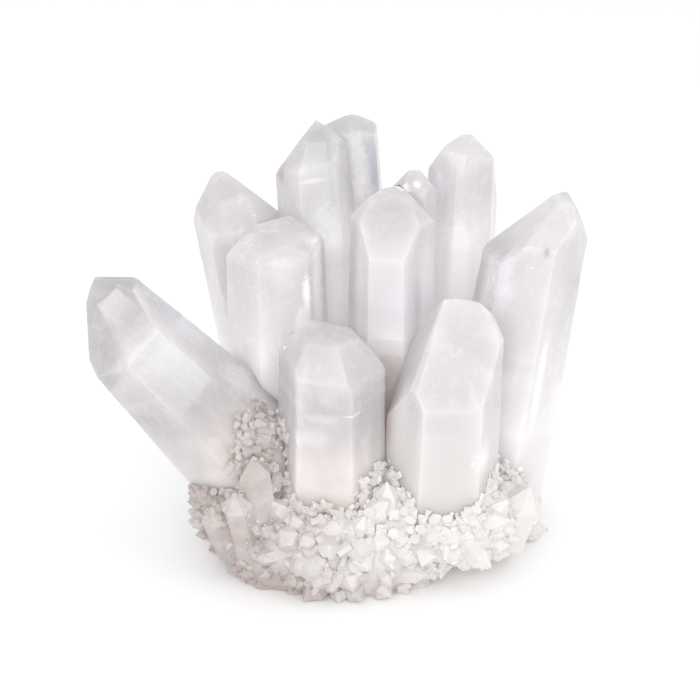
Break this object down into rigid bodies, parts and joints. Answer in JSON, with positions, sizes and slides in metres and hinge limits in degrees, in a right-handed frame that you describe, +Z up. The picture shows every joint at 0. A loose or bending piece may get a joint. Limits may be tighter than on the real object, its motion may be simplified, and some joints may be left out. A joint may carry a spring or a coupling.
{
  "type": "quartz crystal cluster",
  "caption": "Clear quartz points of different lengths fanning out of one rough crystal-crusted base, broken off flat below to stand on a table.",
  "frame": {"origin": "near the middle of the flat broken underside that the cluster stands on", "axes": "+Z up from the underside, -Y the front with the two short broad points, +X to the right seen from the front"},
  "size_m": [0.0918, 0.0633, 0.0814],
  "materials": {
    "clear_quartz": "clear with milky veils, flat natural faces",
    "milky_quartz": "translucent granular crust of tiny points"
  },
  "bodies": {
    "root": {"crust_base": "milky_quartz", "point_far_left": "clear_quartz", "point_back_left": "clear_quartz", "point_mid_left": "clear_quartz", "twin_points_back": "clear_quartz", "point_centre": "clear_quartz", "point_back_right": "clear_quartz", "point_far_right": "clear_quartz", "point_front_centre": "clear_quartz", "point_front_right": "clear_quartz"}
  },
  "joints": []
}
